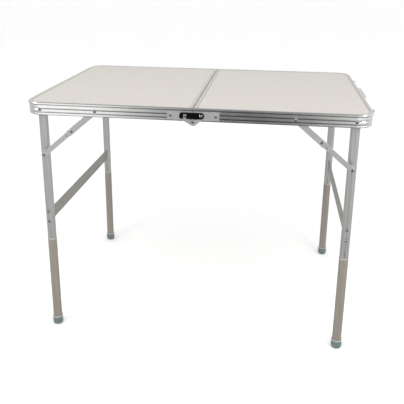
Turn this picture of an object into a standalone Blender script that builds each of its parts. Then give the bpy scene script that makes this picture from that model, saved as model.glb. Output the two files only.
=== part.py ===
"""Suitcase-style folding camp table: two framed halves, two folding leg frames and their stays.

Units are metres, +Z is up. The origin lies on the floor below the middle of the seam.
+X runs along the long side towards the carrying handle, -Y is the front.
"""

import math

import bmesh
import bpy
from mathutils import Matrix, Vector

# ---------------------------------------------------------------- driving dimensions
TOP_LENGTH = 0.900
TOP_WIDTH = 0.600
TABLE_HEIGHT = 0.675
CORNER_RADIUS = 0.045
GAP = 0.0003

RAIL_HEIGHT = 0.035
RAIL_REACH = 0.0095
RAIL_WALL_INNER = 0.0052
RIB_CREST = 0.0022
BEAD_RADIUS = 0.0043
GROOVE_TOP = 0.0017
GROOVE_BOTTOM = 0.0062
SHELF_BOTTOM = 0.0072
PANEL_REBATE = 0.0006
CENTRE_WEB = 0.0022

LEG_X = 0.405
LEG_Y = 0.2765
LEG_RADIUS = 0.012
LEG_BORE = 0.0102
FLUTES = 12
FLUTE_DEPTH = 0.0005
LEG_PIVOT_DROP = 0.0195
LEG_TOP_ABOVE_PIVOT = 0.0055
LEG_JOINT_Z = 0.2785

LOWER_LEG_RADIUS = 0.0123
LOWER_LEG_BORE = 0.0109
COLLAR_HEIGHT = 0.0035
COLLAR_RADIUS = 0.0127
PLUG_BORE = 0.008
PLUG_UP = 0.045
PLUG_DOWN = 0.036
SLEEVE_RELIEF = 0.0011

CAP_HEIGHT = 0.0250
CAP_RADIUS = 0.0143
CAP_FLOOR = 0.005
CAP_TREAD = 0.0091

CROSSBAR_Z = 0.3472
CROSSBAR_PORTS = 0.0308
CROSSBAR_BOSS = 0.0023
CROSSBAR_WEB = 0.003

STAY_RAIL_X = 0.257
STAY_LEG_DROP = 0.1267
STAY_UPPER_SHARE = 0.452
STAY_THICKNESS = 0.0014
UPPER_STAY_HALF = 0.0081
LOWER_STAY_HALF = 0.0068

SHANK_RADIUS = 0.0024
HEAD_RADIUS = 0.0043
HEAD_HEIGHT = 0.0020
CLEARANCE = 0.0003
ROUND_STEPS = 8

PLATE_THICKNESS = 0.0015
PLATE_BACK_Y = 0.2981
PLATE_HALF_LENGTH = 0.0665
PLATE_TOP_Z = 0.6670
PLATE_BOTTOM_Z = 0.6435
PLATE_OUTER_RIVET = 0.0580
PLATE_INNER_RIVET = 0.0205
PLATE_RIVET_Z = 0.6555
PLATE_CUT = 0.0100
EYE_RADIUS = 0.0069
EAR_DROP = 0.0112
EAR_SPREAD = {"left": 0.0300, "right": 0.0220}
EAR_FOOT_TOP = 0.6470

HOOK_THICKNESS = 0.0024
HOOK_HALF_HEIGHT = 0.0080
HOOK_TIP_X = 0.0345
NOTCH_SIDE_OUT = 0.0050
NOTCH_SIDE_IN = 0.0033

LATCH_Y = 0.200
LATCH_PIVOT_X = 0.4522
LATCH_PIVOT_Z = 0.6485
LATCH_LENGTH = 0.0155
LATCH_TAB_REACH = 0.4605
HANDLE_HALF_LENGTH = 0.056
HANDLE_PIVOT_X = 0.4542
HANDLE_PIVOT_Z = 0.6445
HANDLE_BAR_RISE = 0.0175
HANDLE_BAR_RADIUS = 0.0042

# ---------------------------------------------------------------- derived dimensions
HALF_LENGTH = TOP_LENGTH / 2
HALF_WIDTH = TOP_WIDTH / 2
RAIL_BOTTOM_Z = TABLE_HEIGHT - RAIL_HEIGHT
LEG_PIVOT_Z = TABLE_HEIGHT - LEG_PIVOT_DROP
WALL_INNER_Y = HALF_WIDTH - RAIL_WALL_INNER
STAY_OUTER_Y = WALL_INNER_Y - GAP
STAY_INNER_Y = STAY_OUTER_Y - 2 * STAY_THICKNESS - GAP
RIB_Y = HALF_WIDTH - RIB_CREST
RIB_X = HALF_LENGTH - RIB_CREST
PANEL_TOP_Z = TABLE_HEIGHT - GROOVE_TOP + GAP
PANEL_BOTTOM_Z = TABLE_HEIGHT - GROOVE_BOTTOM + GAP
HOLE_RADIUS = SHANK_RADIUS + CLEARANCE
PLATE_FRONT_Y = PLATE_BACK_Y + PLATE_THICKNESS
HOOK_BACK_Y = HALF_WIDTH + GAP
HOOK_FRONT_Y = HOOK_BACK_Y + HOOK_THICKNESS

SIDES = {"left": -1, "right": 1}
ENDS = {"front": -1, "rear": 1}


# ---------------------------------------------------------------- scene and materials
def clear_scene():
    for old in list(bpy.data.objects):
        bpy.data.objects.remove(old, do_unlink=True)


def new_collection(name):
    made = bpy.data.collections.new(name)
    bpy.context.scene.collection.children.link(made)
    return made


def principled(name, colour, roughness, metallic):
    made = bpy.data.materials.new(name)
    made.use_nodes = True
    shader = made.node_tree.nodes["Principled BSDF"]
    shader.inputs["Base Color"].default_value = (*colour, 1.0)
    shader.inputs["Roughness"].default_value = roughness
    shader.inputs["Metallic"].default_value = metallic
    return made


clear_scene()
PARTS = new_collection("folding_table")
CUTTERS = new_collection("cutters")

LAMINATE = ("laminate", (0.73, 0.70, 0.66), 0.45, 0.0)
POLISHED = ("polished_aluminium", (0.80, 0.80, 0.79), 0.22, 1.0)
SATIN = ("satin_aluminium", (0.62, 0.62, 0.60), 0.38, 1.0)
STEEL = ("zinc_steel", (0.55, 0.55, 0.54), 0.40, 1.0)
RIVET = ("bright_rivet", (0.85, 0.85, 0.84), 0.15, 1.0)
LOWER_TUBE = ("warm_grey_tube", (0.42, 0.39, 0.34), 0.45, 0.6)
COLLAR = ("collar_plastic", (0.62, 0.60, 0.57), 0.5, 0.0)
CAP = ("cap_plastic", (0.25, 0.32, 0.33), 0.55, 0.0)
BLACK = ("black_plastic", (0.01, 0.01, 0.01), 0.4, 0.0)
GRIP = ("grip_plastic", (0.55, 0.54, 0.51), 0.5, 0.0)


# ---------------------------------------------------------------- geometry helpers
def arc(centre, radius, start, end, count):
    """Points on an arc, angles in degrees, both ends included."""
    points = []
    for step in range(count + 1):
        angle = math.radians(start + (end - start) * step / count)
        points.append((centre[0] + radius * math.cos(angle), centre[1] + radius * math.sin(angle)))
    return points


def circle(centre, radius, count):
    return arc(centre, radius, 0, 360 - 360 / count, count - 1)


def rest_in(collection, obj):
    for held in list(obj.users_collection):
        held.objects.unlink(obj)
    collection.objects.link(obj)


def finish(obj, name, finish_spec):
    """Name a piece, give it its own material and put it with the parts."""
    label, colour, roughness, metallic = finish_spec
    obj.name = name
    obj.data.name = name
    obj.data.materials.clear()
    obj.data.materials.append(principled(f"{name}_{label}", colour, roughness, metallic))
    rest_in(PARTS, obj)
    return obj


def smooth(obj, angle=40):
    obj.data.shade_smooth()
    obj.data.set_sharp_from_angle(angle=math.radians(angle))
    return obj


def outline_curve(name, loops, thickness):
    """A flat plate from closed loops in local XY; inner loops become holes."""
    data = bpy.data.curves.new(name, "CURVE")
    data.dimensions = "2D"
    data.fill_mode = "BOTH"
    data.extrude = thickness / 2
    for loop in loops:
        spline = data.splines.new("POLY")
        spline.points.add(len(loop) - 1)
        for point, (x, y) in zip(spline.points, loop):
            point.co = (x, y, 0, 1)
        spline.use_cyclic_u = True
    obj = bpy.data.objects.new(name, data)
    CUTTERS.objects.link(obj)
    return obj


def as_mesh(obj):
    """Replace a curve by its mesh, with the caps welded on."""
    bpy.context.view_layer.update()
    evaluated = obj.evaluated_get(bpy.context.evaluated_depsgraph_get())
    mesh = bpy.data.meshes.new_from_object(evaluated)
    solid = bpy.data.objects.new(obj.name, mesh)
    solid.matrix_world = obj.matrix_world.copy()
    CUTTERS.objects.link(solid)
    bpy.data.objects.remove(obj, do_unlink=True)
    work = bmesh.new()
    work.from_mesh(mesh)
    bmesh.ops.remove_doubles(work, verts=work.verts, dist=0.00001)
    bmesh.ops.recalc_face_normals(work, faces=work.faces)
    work.to_mesh(mesh)
    work.free()
    return solid


def plate_xz(name, loops, y_inner, y_outer, end, pivot=(0.0, 0.0)):
    """A plate in the XZ plane between two distances from the long centre line."""
    local = [[(x - pivot[0], z - pivot[1]) for x, z in loop] for loop in loops]
    obj = outline_curve(name, local, y_outer - y_inner)
    obj.location = (pivot[0], end * (y_outer + y_inner) / 2, pivot[1])
    obj.rotation_euler = (math.pi / 2, 0, 0)
    return as_mesh(obj)


def profile_mesh(name, points, closed):
    work = bmesh.new()
    verts = [work.verts.new((radius, 0, height)) for radius, height in points]
    for first, second in zip(verts, verts[1:]):
        work.edges.new((first, second))
    if closed:
        work.edges.new((verts[-1], verts[0]))
    mesh = bpy.data.meshes.new(name)
    work.to_mesh(mesh)
    work.free()
    return mesh


def turned(name, points, steps, closed=False):
    """Turn a profile of (radius, height) pairs, outer side running down, about local Z."""
    obj = bpy.data.objects.new(name, profile_mesh(name, points, closed))
    CUTTERS.objects.link(obj)
    screw = obj.modifiers.new("turn", "SCREW")
    screw.steps = steps
    screw.render_steps = steps
    screw.use_merge_vertices = True
    screw.merge_threshold = 0.00001
    screw.use_smooth_shade = True
    return obj


def face_out(obj, x, y, z, end):
    """Stand a turned piece so that its local +Z points out of the front or rear rail."""
    obj.location = (x, end * y, z)
    obj.rotation_euler = (-end * math.pi / 2, 0, 0)
    return obj


def box(name, low, high):
    work = bmesh.new()
    size = Vector(high) - Vector(low)
    middle = (Vector(high) + Vector(low)) / 2
    bmesh.ops.create_cube(work, size=1.0, matrix=Matrix.Translation(middle) @ Matrix.Diagonal((*size, 1)))
    mesh = bpy.data.meshes.new(name)
    work.to_mesh(mesh)
    work.free()
    obj = bpy.data.objects.new(name, mesh)
    CUTTERS.objects.link(obj)
    return obj


def rods(name, rods_list, segments):
    """Straight round bars, each from one point to another with a radius, in one mesh."""
    work = bmesh.new()
    for start, end, radius in rods_list:
        span = Vector(end) - Vector(start)
        turn = span.to_track_quat("Z", "Y").to_matrix().to_4x4()
        place = Matrix.Translation((Vector(start) + Vector(end)) / 2) @ turn
        bmesh.ops.create_cone(
            work, cap_ends=True, segments=segments, radius1=radius, radius2=radius,
            depth=span.length, matrix=place,
        )
    mesh = bpy.data.meshes.new(name)
    work.to_mesh(mesh)
    work.free()
    obj = bpy.data.objects.new(name, mesh)
    CUTTERS.objects.link(obj)
    return obj


def boolean(obj, other, operation):
    modifier = obj.modifiers.new(operation.lower(), "BOOLEAN")
    modifier.operation = operation
    modifier.solver = "EXACT"
    modifier.object = other
    other.hide_render = True
    other.display_type = "WIRE"
    return obj


def head_profile(shank_end, head_base=0.0, radius=HEAD_RADIUS, height=HEAD_HEIGHT, shank=SHANK_RADIUS):
    """A domed rivet: heights run outwards, and the shank reaches down to shank_end."""
    sphere = (radius**2 + height**2) / (2 * height)
    centre = height - sphere
    rim = math.degrees(math.asin((0 - centre) / sphere))
    dome = [(0.0, head_base + height)]
    for step in (1, 2):
        angle = math.radians(90 + (rim - 90) * step / 2)
        dome.append((sphere * math.cos(angle), head_base + centre + sphere * math.sin(angle)))
    return dome + [(shank, head_base), (shank, shank_end), (0.0, shank_end)]


# ---------------------------------------------------------------- table top
def rail_profile():
    """Edge rail section as (outward, up) pairs from the crown of the bead."""
    section = [(-RAIL_REACH, -0.0011)]
    section += arc((-BEAD_RADIUS, -BEAD_RADIUS), BEAD_RADIUS, 104, -52, 7)
    section.append((-0.0035, -0.0087))
    section += [(-0.0031, -0.0098), (-0.0024, -0.0117), (-RIB_CREST, -0.0138), (-0.0024, -0.0160), (-0.0031, -0.0179)]
    section.append((-0.0037, -0.0189))
    section += [(-0.0031, -0.0199), (-0.0024, -0.0217), (-RIB_CREST, -0.0238), (-0.0024, -0.0257), (-0.0031, -0.0275)]
    section.append((-0.0037, -0.0284))
    section += arc((-0.0051, -0.0322), 0.0028, 48, -90, 5)
    section += [(-RAIL_WALL_INNER, -RAIL_HEIGHT), (-RAIL_WALL_INNER, -SHELF_BOTTOM), (-RAIL_REACH, -SHELF_BOTTOM)]
    section += [(-RAIL_REACH, -GROOVE_BOTTOM), (-RAIL_WALL_INNER, -GROOVE_BOTTOM)]
    section += [(-RAIL_WALL_INNER, -GROOVE_TOP), (-RAIL_REACH, -GROOVE_TOP)]
    return section


def rail_path(side):
    """Plan of a half's edge rail, from the front seam round both corners to the rear seam."""
    seam = GAP / 2
    centre_x = HALF_LENGTH - CORNER_RADIUS
    centre_y = HALF_WIDTH - CORNER_RADIUS
    path = [(seam, -HALF_WIDTH)]
    path += arc((centre_x, -centre_y), CORNER_RADIUS, -90, 0, 6)
    path += arc((centre_x, centre_y), CORNER_RADIUS, 0, 90, 6)
    path.append((seam, HALF_WIDTH))
    return [(side * x, y) for x, y in path]


def sweep(name, path, section):
    """Carry a closed section along an open plan path."""
    profile = bpy.data.curves.new(f"{name}_section", "CURVE")
    profile.dimensions = "2D"
    spline = profile.splines.new("POLY")
    spline.points.add(len(section) - 1)
    for point, (across, up) in zip(spline.points, section):
        point.co = (across, up, 0, 1)
    spline.use_cyclic_u = True
    guide = bpy.data.objects.new(f"{name}_section", profile)
    CUTTERS.objects.link(guide)

    data = bpy.data.curves.new(name, "CURVE")
    data.dimensions = "3D"
    data.twist_mode = "Z_UP"
    data.bevel_mode = "OBJECT"
    data.bevel_object = guide
    data.use_fill_caps = True
    line = data.splines.new("POLY")
    line.points.add(len(path) - 1)
    for point, (x, y) in zip(line.points, path):
        point.co = (x, y, TABLE_HEIGHT, 1)
    swept = bpy.data.objects.new(name, data)
    CUTTERS.objects.link(swept)
    solid = as_mesh(swept)
    bpy.data.objects.remove(guide, do_unlink=True)
    return solid


def rail_holes(side_name):
    """Bars that drill every rivet hole of one edge rail."""
    side = SIDES[side_name]
    drilled = []
    for end in ENDS.values():
        for x, z in (
            (LEG_X, LEG_PIVOT_Z),
            (STAY_RAIL_X, LEG_PIVOT_Z),
            (PLATE_OUTER_RIVET, PLATE_RIVET_Z),
            (PLATE_INNER_RIVET, PLATE_RIVET_Z),
        ):
            drilled.append(((side * x, end * 0.28, z), (side * x, end * 0.31, z), HOLE_RADIUS))
    return rods(f"{side_name}_rail_drill", drilled, ROUND_STEPS)


def edge_rail(side_name):
    side = SIDES[side_name]
    rail = sweep(f"{side_name}_edge_rail", rail_path(side), [(side * u, v) for u, v in rail_profile()])
    boolean(rail, rail_holes(side_name), "DIFFERENCE")
    finish(rail, f"{side_name}_edge_rail", POLISHED)
    return smooth(rail, 28)


def board(side, inset, low, high):
    """Flat board between two heights, its edge a constant distance inside the half's outline."""
    radius = CORNER_RADIUS - inset
    outer_x = HALF_LENGTH - inset
    half_y = HALF_WIDTH - inset
    loop = [(inset, -half_y)]
    loop += arc((outer_x - radius, -half_y + radius), radius, -90, 0, 6)
    loop += arc((outer_x - radius, half_y - radius), radius, 0, 90, 6)
    loop.append((inset, half_y))
    flat = outline_curve("board", [[(side * x, y) for x, y in loop]], high - low)
    flat.location.z = (low + high) / 2
    return as_mesh(flat)


def panel(side_name):
    """Laminated board whose thinner edge is captured in the grooves of its rails."""
    side = SIDES[side_name]
    tongue = board(side, RAIL_WALL_INNER + GAP, PANEL_BOTTOM_Z, PANEL_TOP_Z - PANEL_REBATE)
    face = board(side, RAIL_REACH + 2 * GAP, PANEL_BOTTOM_Z + 0.001, PANEL_TOP_Z)
    boolean(tongue, face, "UNION")
    return finish(tongue, f"{side_name}_panel", LAMINATE)


def centre_rail(side_name):
    """Channel along the seam; its ends are notched around the edge rail's groove."""
    side = SIDES[side_name]
    face = GAP / 2
    lip = RAIL_REACH
    web = face + CENTRE_WEB
    flange = 0.0015
    section = [
        (face, -0.0006), (face + 0.0006, 0.0), (lip - 0.0008, 0.0), (lip, -0.0007), (lip, -GROOVE_TOP),
        (RAIL_WALL_INNER, -GROOVE_TOP), (RAIL_WALL_INNER, -GROOVE_BOTTOM), (lip, -GROOVE_BOTTOM),
        (lip, -SHELF_BOTTOM), (web, -SHELF_BOTTOM), (web, -RAIL_HEIGHT + flange),
        (lip, -RAIL_HEIGHT + flange), (lip, -RAIL_HEIGHT), (face, -RAIL_HEIGHT),
    ]
    half = WALL_INNER_Y - GAP
    loop = [(side * x, TABLE_HEIGHT + v) for x, v in section]
    rail = plate_xz(f"{side_name}_centre_rail", [loop], -half, half, 1)
    notch_z = TABLE_HEIGHT - SHELF_BOTTOM - GAP
    for end in ENDS.values():
        near = end * (HALF_WIDTH - RAIL_REACH - GAP)
        far = end * HALF_WIDTH
        low = (min(0, side * 0.02) - 0.001, min(near, far), notch_z)
        high = (max(0, side * 0.02) + 0.001, max(near, far), TABLE_HEIGHT + 0.01)
        boolean(rail, box(f"{side_name}_rail_notch_{end}", low, high), "DIFFERENCE")
    return finish(rail, f"{side_name}_centre_rail", SATIN)


# ---------------------------------------------------------------- centre hinges and lock hooks
def plate_outline(side):
    """Plate body: its lower inner corner is cut back round the hinge pin."""
    inner, cut = 0.0012, PLATE_CUT
    top, bottom = PLATE_TOP_Z, PLATE_BOTTOM_Z
    loop = [(PLATE_HALF_LENGTH, bottom + 0.002), (PLATE_HALF_LENGTH, top - 0.002), (PLATE_HALF_LENGTH - 0.002, top)]
    loop += [(inner, top), (inner, RAIL_BOTTOM_Z + cut)]
    start = math.degrees(math.acos(inner / cut))
    end = math.degrees(math.asin((bottom - RAIL_BOTTOM_Z) / cut))
    loop += arc((0, RAIL_BOTTOM_Z), cut, start, end, 5)[1:]
    loop.append((PLATE_HALF_LENGTH - 0.002, bottom))
    return [(side * x, z) for x, z in loop]


def ear_outline(side_name):
    """Ear that slopes from the plate's lower edge down to a round apex below the pin."""
    centre = (0.0, RAIL_BOTTOM_Z)
    spread = EAR_SPREAD[side_name]
    loop = arc(centre, EAR_DROP, 225, 310, 6)
    loop += [(spread, PLATE_BOTTOM_Z + 0.0012), (spread, EAR_FOOT_TOP), (0.0105, EAR_FOOT_TOP)]
    loop += arc(centre, EYE_RADIUS, 40, 180, 6)
    return [(SIDES[side_name] * x, z) for x, z in loop]


def plate_rivets(side, end, plate):
    """Riveted ends of a hinge plate; the inner one carries or stops the lock hook."""
    shank_end = WALL_INNER_Y + GAP - PLATE_FRONT_Y
    outer = turned("rivet", head_profile(shank_end), ROUND_STEPS)
    boolean(plate, face_out(outer, side * PLATE_OUTER_RIVET, PLATE_FRONT_Y - 0.0001, PLATE_RIVET_Z, end), "UNION")
    reach = HOOK_FRONT_Y + GAP - PLATE_FRONT_Y
    radius = 0.0042 if side > 0 else 0.0036
    stud = turned("hook_stud", head_profile(shank_end, reach, radius, 0.0017), ROUND_STEPS)
    boolean(plate, face_out(stud, side * PLATE_INNER_RIVET, PLATE_FRONT_Y, PLATE_RIVET_Z, end), "UNION")


def hinge_plate(side_name, end_name):
    """The left ear lies in the plate's plane, the right one is stepped out over it."""
    side, end = SIDES[side_name], ENDS[end_name]
    name = f"hinge_plate_{side_name}_{end_name}"
    pin_hole = circle((0.0, RAIL_BOTTOM_Z), HOLE_RADIUS, ROUND_STEPS)
    plate = plate_xz(name, [plate_outline(side)], PLATE_BACK_Y, PLATE_FRONT_Y, end)
    if side < 0:
        ear = plate_xz("ear", [ear_outline(side_name), pin_hole], PLATE_BACK_Y, PLATE_FRONT_Y, end)
    else:
        front = PLATE_FRONT_Y + GAP
        ear = plate_xz("ear", [ear_outline(side_name), pin_hole], front, front + PLATE_THICKNESS, end)
        low, high = PLATE_BOTTOM_Z + 0.0006, EAR_FOOT_TOP - 0.0002
        near, far = 0.0125, EAR_SPREAD[side_name] - 0.0006
        step = [(near, low), (far, low + 0.0008), (far, high), (near, high)]
        boolean(plate, plate_xz("step", [step], PLATE_BACK_Y + 0.0004, front + 0.0011, end), "UNION")
    boolean(plate, ear, "UNION")
    plate_rivets(side, end, plate)
    return finish(plate, name, STEEL)


def hinge_pin(end_name):
    end = ENDS[end_name]
    front = PLATE_FRONT_Y + GAP + PLATE_THICKNESS + GAP
    pin = turned("pin", head_profile(PLATE_BACK_Y - front, 0.0, 0.0046, 0.0019), 14)
    face_out(pin, 0.0, front, RAIL_BOTTOM_Z, end)
    return finish(pin, f"hinge_pin_{end_name}", RIVET)


def lock_hook(end_name):
    """Bar on the right stud whose notch drops over the left stud from above."""
    end = ENDS[end_name]
    z, half = PLATE_RIVET_Z, HOOK_HALF_HEIGHT
    stud = -PLATE_INNER_RIVET
    roof = z + SHANK_RADIUS + CLEARANCE + 0.0005
    loop = arc((PLATE_INNER_RIVET, z), half, -90, 90, 8)
    loop += [(-HOOK_TIP_X + 0.004, z + half), (-HOOK_TIP_X, z + half - 0.004), (-HOOK_TIP_X, z - half + 0.003)]
    loop += [(-HOOK_TIP_X + 0.003, z - half), (stud - NOTCH_SIDE_OUT - 0.0005, z - half)]
    loop += [(stud - NOTCH_SIDE_OUT + 0.0008, roof - 0.0014), (stud - NOTCH_SIDE_OUT + 0.0022, roof)]
    loop += [(stud + NOTCH_SIDE_IN - 0.0014, roof), (stud + NOTCH_SIDE_IN, roof - 0.0014)]
    loop += [(stud + NOTCH_SIDE_IN, z - half)]
    bore = circle((PLATE_INNER_RIVET, z), HOLE_RADIUS, ROUND_STEPS)
    hook = plate_xz("hook", [loop, bore], HOOK_BACK_Y, HOOK_FRONT_Y, end, (PLATE_INNER_RIVET, z))
    return finish(hook, f"lock_hook_{end_name}", BLACK)


# ---------------------------------------------------------------- leg frames
def upper_leg(side_name, end_name):
    """Fluted tube with cross holes for its pivot rivet and the crossbar screws."""
    side, end = SIDES[side_name], ENDS[end_name]
    name = f"upper_leg_{side_name}_{end_name}"
    outer = []
    steps = FLUTES * 3
    for step in range(steps):
        angle = 2 * math.pi * step / steps
        radius = LEG_RADIUS - FLUTE_DEPTH * 0.5 * (1 + math.cos(FLUTES * angle))
        outer.append((radius * math.cos(angle), radius * math.sin(angle)))
    top = LEG_PIVOT_Z + LEG_TOP_ABOVE_PIVOT
    tube = outline_curve(name, [outer, circle((0, 0), LEG_BORE, 16)], top - LEG_JOINT_Z)
    tube.location = (side * LEG_X, end * LEG_Y, (top + LEG_JOINT_Z) / 2)
    leg = as_mesh(tube)
    leg.data.transform(Matrix.Translation((0, 0, (top + LEG_JOINT_Z) / 2 - LEG_PIVOT_Z)))
    leg.location.z = LEG_PIVOT_Z
    heights = (LEG_PIVOT_Z, CROSSBAR_Z - CROSSBAR_PORTS / 2, CROSSBAR_Z + CROSSBAR_PORTS / 2)
    drilled = [((side * LEG_X, end * 0.25, z), (side * LEG_X, end * 0.30, z), HOLE_RADIUS) for z in heights]
    boolean(leg, rods(f"{name}_drill", drilled, ROUND_STEPS), "DIFFERENCE")
    boss_in, boss_out = LEG_Y + LEG_BORE + 0.0006, STAY_INNER_Y - GAP
    boss_z = LEG_PIVOT_Z - STAY_LEG_DROP
    boss = rods("boss", [((side * LEG_X, end * boss_in, boss_z), (side * LEG_X, end * boss_out, boss_z), 0.0044)], 12)
    boolean(leg, boss, "UNION")
    finish(leg, name, SATIN)
    return smooth(leg, 50)


def leg_pivot_rivet(side_name, end_name):
    """Rivet with a spacer sleeve that carries the leg behind the start of the rail's corner."""
    side, end = SIDES[side_name], ENDS[end_name]
    base = RIB_Y + GAP
    sleeve_out = WALL_INNER_Y - SLEEVE_RELIEF - base
    sleeve_in = LEG_Y + LEG_RADIUS + GAP - base
    tail_out = LEG_Y - LEG_RADIUS - GAP - base
    tail_in = tail_out - 0.001
    profile = head_profile(0.0)[:-2]
    profile += [(SHANK_RADIUS, sleeve_out), (0.0044, sleeve_out), (0.0044, sleeve_in), (SHANK_RADIUS, sleeve_in)]
    profile += [(SHANK_RADIUS, tail_out), (0.0040, tail_out), (0.0034, tail_in), (0.0, tail_in)]
    rivet = face_out(turned("pivot", profile, ROUND_STEPS), side * LEG_X, base, LEG_PIVOT_Z, end)
    return finish(rivet, f"leg_pivot_rivet_{side_name}_{end_name}", RIVET)


def crossbar_section():
    """Flat bar with a round screw port along each edge."""
    half = CROSSBAR_PORTS / 2
    web = CROSSBAR_WEB / 2
    open_angle = math.degrees(math.asin(web / CROSSBAR_BOSS))
    loop = arc((0, half), CROSSBAR_BOSS, -90 + open_angle, 270 - open_angle, 8)
    loop += arc((0, -half), CROSSBAR_BOSS, 90 + open_angle, 450 - open_angle, 8)
    return loop


def crossbar(side_name):
    """Extruded bar between two legs, with the screws that hold it."""
    side = SIDES[side_name]
    half = LEG_Y - LEG_RADIUS - GAP
    loop = [(side * LEG_X + x, CROSSBAR_Z + z) for x, z in crossbar_section()]
    bar = plate_xz(f"crossbar_{side_name}", [loop], -half, half, 1, (side * LEG_X, CROSSBAR_Z))
    for end in ENDS.values():
        for lift in (-1, 1):
            base = LEG_Y + LEG_RADIUS + GAP
            screw = turned("screw", head_profile(half - 0.004 - base, 0.0, 0.0042, 0.0018, 0.0018), ROUND_STEPS)
            place = face_out(screw, side * LEG_X, base, CROSSBAR_Z + lift * CROSSBAR_PORTS / 2, end)
            boolean(bar, place, "UNION")
    return finish(bar, f"crossbar_{side_name}", SATIN)


def leg_plug(side_name, end_name):
    """Push-fit plug whose collar shows as a ring between the two tubes."""
    upper, lower = LEG_BORE - CLEARANCE, LOWER_LEG_BORE - CLEARANCE
    top, bottom = PLUG_UP, -COLLAR_HEIGHT - PLUG_DOWN
    profile = [
        (PLUG_BORE, top), (upper, top), (upper, -GAP), (COLLAR_RADIUS, -GAP), (COLLAR_RADIUS, -COLLAR_HEIGHT),
        (lower, -COLLAR_HEIGHT), (lower, bottom + 0.002), (lower - 0.001, bottom), (PLUG_BORE, bottom),
    ]
    plug = turned("plug", profile, 16, closed=True)
    plug.location = (SIDES[side_name] * LEG_X, ENDS[end_name] * LEG_Y, LEG_JOINT_Z)
    return finish(plug, f"leg_plug_{side_name}_{end_name}", COLLAR)


def lower_leg(side_name, end_name):
    """Plain extension tube between the plug's collar and the foot cap."""
    top, bottom = LEG_JOINT_Z - COLLAR_HEIGHT - GAP, CAP_FLOOR + GAP
    loops = [circle((0, 0), LOWER_LEG_RADIUS, 28), circle((0, 0), LOWER_LEG_BORE, 16)]
    tube = outline_curve("tube", loops, top - bottom)
    tube.location = (SIDES[side_name] * LEG_X, ENDS[end_name] * LEG_Y, (top + bottom) / 2)
    name = f"lower_leg_{side_name}_{end_name}"
    return smooth(finish(as_mesh(tube), name, LOWER_TUBE), 50)


def foot_cap(side_name, end_name):
    """Cup with a thicker brim and a rounded tread edge."""
    bore = LOWER_LEG_RADIUS + CLEARANCE
    brim = CAP_RADIUS + 0.0004
    profile = [
        (0.0, CAP_FLOOR), (bore, CAP_FLOOR), (bore, CAP_HEIGHT), (brim, CAP_HEIGHT), (brim, CAP_HEIGHT - 0.0036),
        (CAP_RADIUS - 0.0003, CAP_HEIGHT - 0.0044), (CAP_RADIUS, 0.0052), (CAP_RADIUS - 0.0022, 0.0016),
        (CAP_TREAD, 0.0), (0.0, 0.0),
    ]
    cap = turned("cap", profile, 20)
    cap.location = (SIDES[side_name] * LEG_X, ENDS[end_name] * LEG_Y, 0)
    return finish(cap, f"foot_cap_{side_name}_{end_name}", CAP)


# ---------------------------------------------------------------- folding stays
def stay_points(side):
    """Rail pivot, knee and leg pivot of a straight stay, as (x, z)."""
    rail = Vector((side * STAY_RAIL_X, LEG_PIVOT_Z))
    leg = Vector((side * LEG_X, LEG_PIVOT_Z - STAY_LEG_DROP))
    return rail, rail.lerp(leg, STAY_UPPER_SHARE), leg


def link_outline(start, end, half, extra=0.0):
    """Strip with round ends about its two pivots; extra squares off the far end."""
    along = (end - start).normalized()
    angle = math.degrees(math.atan2(along.y, along.x))
    loop = arc(start, half, angle + 90, angle + 270, 7)
    if extra:
        across = Vector((-along.y, along.x)) * half
        tip = end + along * extra
        loop += [tuple(tip - across), tuple(tip + across)]
    else:
        loop += arc(end, half, angle - 90, angle + 90, 7)
    return loop


def upper_stay(side_name, end_name):
    """Link on the rail rivet; its squared end stops the knee when the stay is straight."""
    side, end = SIDES[side_name], ENDS[end_name]
    rail, knee, leg = stay_points(side)
    loops = [link_outline(rail, knee, UPPER_STAY_HALF, 0.0125), circle(rail, HOLE_RADIUS, ROUND_STEPS)]
    outer = STAY_OUTER_Y
    link = plate_xz("upper", loops, outer - STAY_THICKNESS, outer, end, tuple(rail))
    tail = -2 * STAY_THICKNESS - GAP
    rivet = turned("knee", head_profile(tail, -0.0001, 0.0041, 0.0014), ROUND_STEPS)
    boolean(link, face_out(rivet, knee.x, outer, knee.y, end), "UNION")
    return finish(link, f"upper_stay_{side_name}_{end_name}", SATIN)


def lower_stay(side_name, end_name):
    """Link from the knee to the leg, with the head of its leg rivet."""
    side, end = SIDES[side_name], ENDS[end_name]
    rail, knee, leg = stay_points(side)
    loops = [link_outline(knee, leg, LOWER_STAY_HALF), circle(knee, HOLE_RADIUS, ROUND_STEPS)]
    outer = STAY_OUTER_Y - STAY_THICKNESS - GAP
    link = plate_xz("lower", loops, outer - STAY_THICKNESS, outer, end, tuple(knee))
    rivet = turned("leg_rivet", head_profile(-STAY_THICKNESS / 2, -0.0001, 0.0043, 0.0015), ROUND_STEPS)
    boolean(link, face_out(rivet, leg.x, outer, leg.y, end), "UNION")
    return finish(link, f"lower_stay_{side_name}_{end_name}", SATIN)


def stay_rivet(side_name, end_name):
    """Rail rivet of a stay, its tail set flush with the back of the upper link."""
    side, end = SIDES[side_name], ENDS[end_name]
    base = RIB_Y + GAP
    tail = STAY_OUTER_Y - STAY_THICKNESS - base
    rivet = face_out(turned("stay", head_profile(tail), ROUND_STEPS), side * STAY_RAIL_X, base, LEG_PIVOT_Z, end)
    return finish(rivet, f"stay_rivet_{side_name}_{end_name}", RIVET)


# ---------------------------------------------------------------- case latches and handle
def plate_yz(name, loops, x_inner, x_outer, pivot):
    """A plate in the YZ plane at the end rail, outline as (y, z) pairs."""
    local = [[(y - pivot[0], z - pivot[1]) for y, z in loop] for loop in loops]
    obj = outline_curve(name, local, x_outer - x_inner)
    obj.location = ((x_outer + x_inner) / 2, pivot[0], pivot[1])
    obj.rotation_euler = (math.pi / 2, 0, math.pi / 2)
    return as_mesh(obj)


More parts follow.
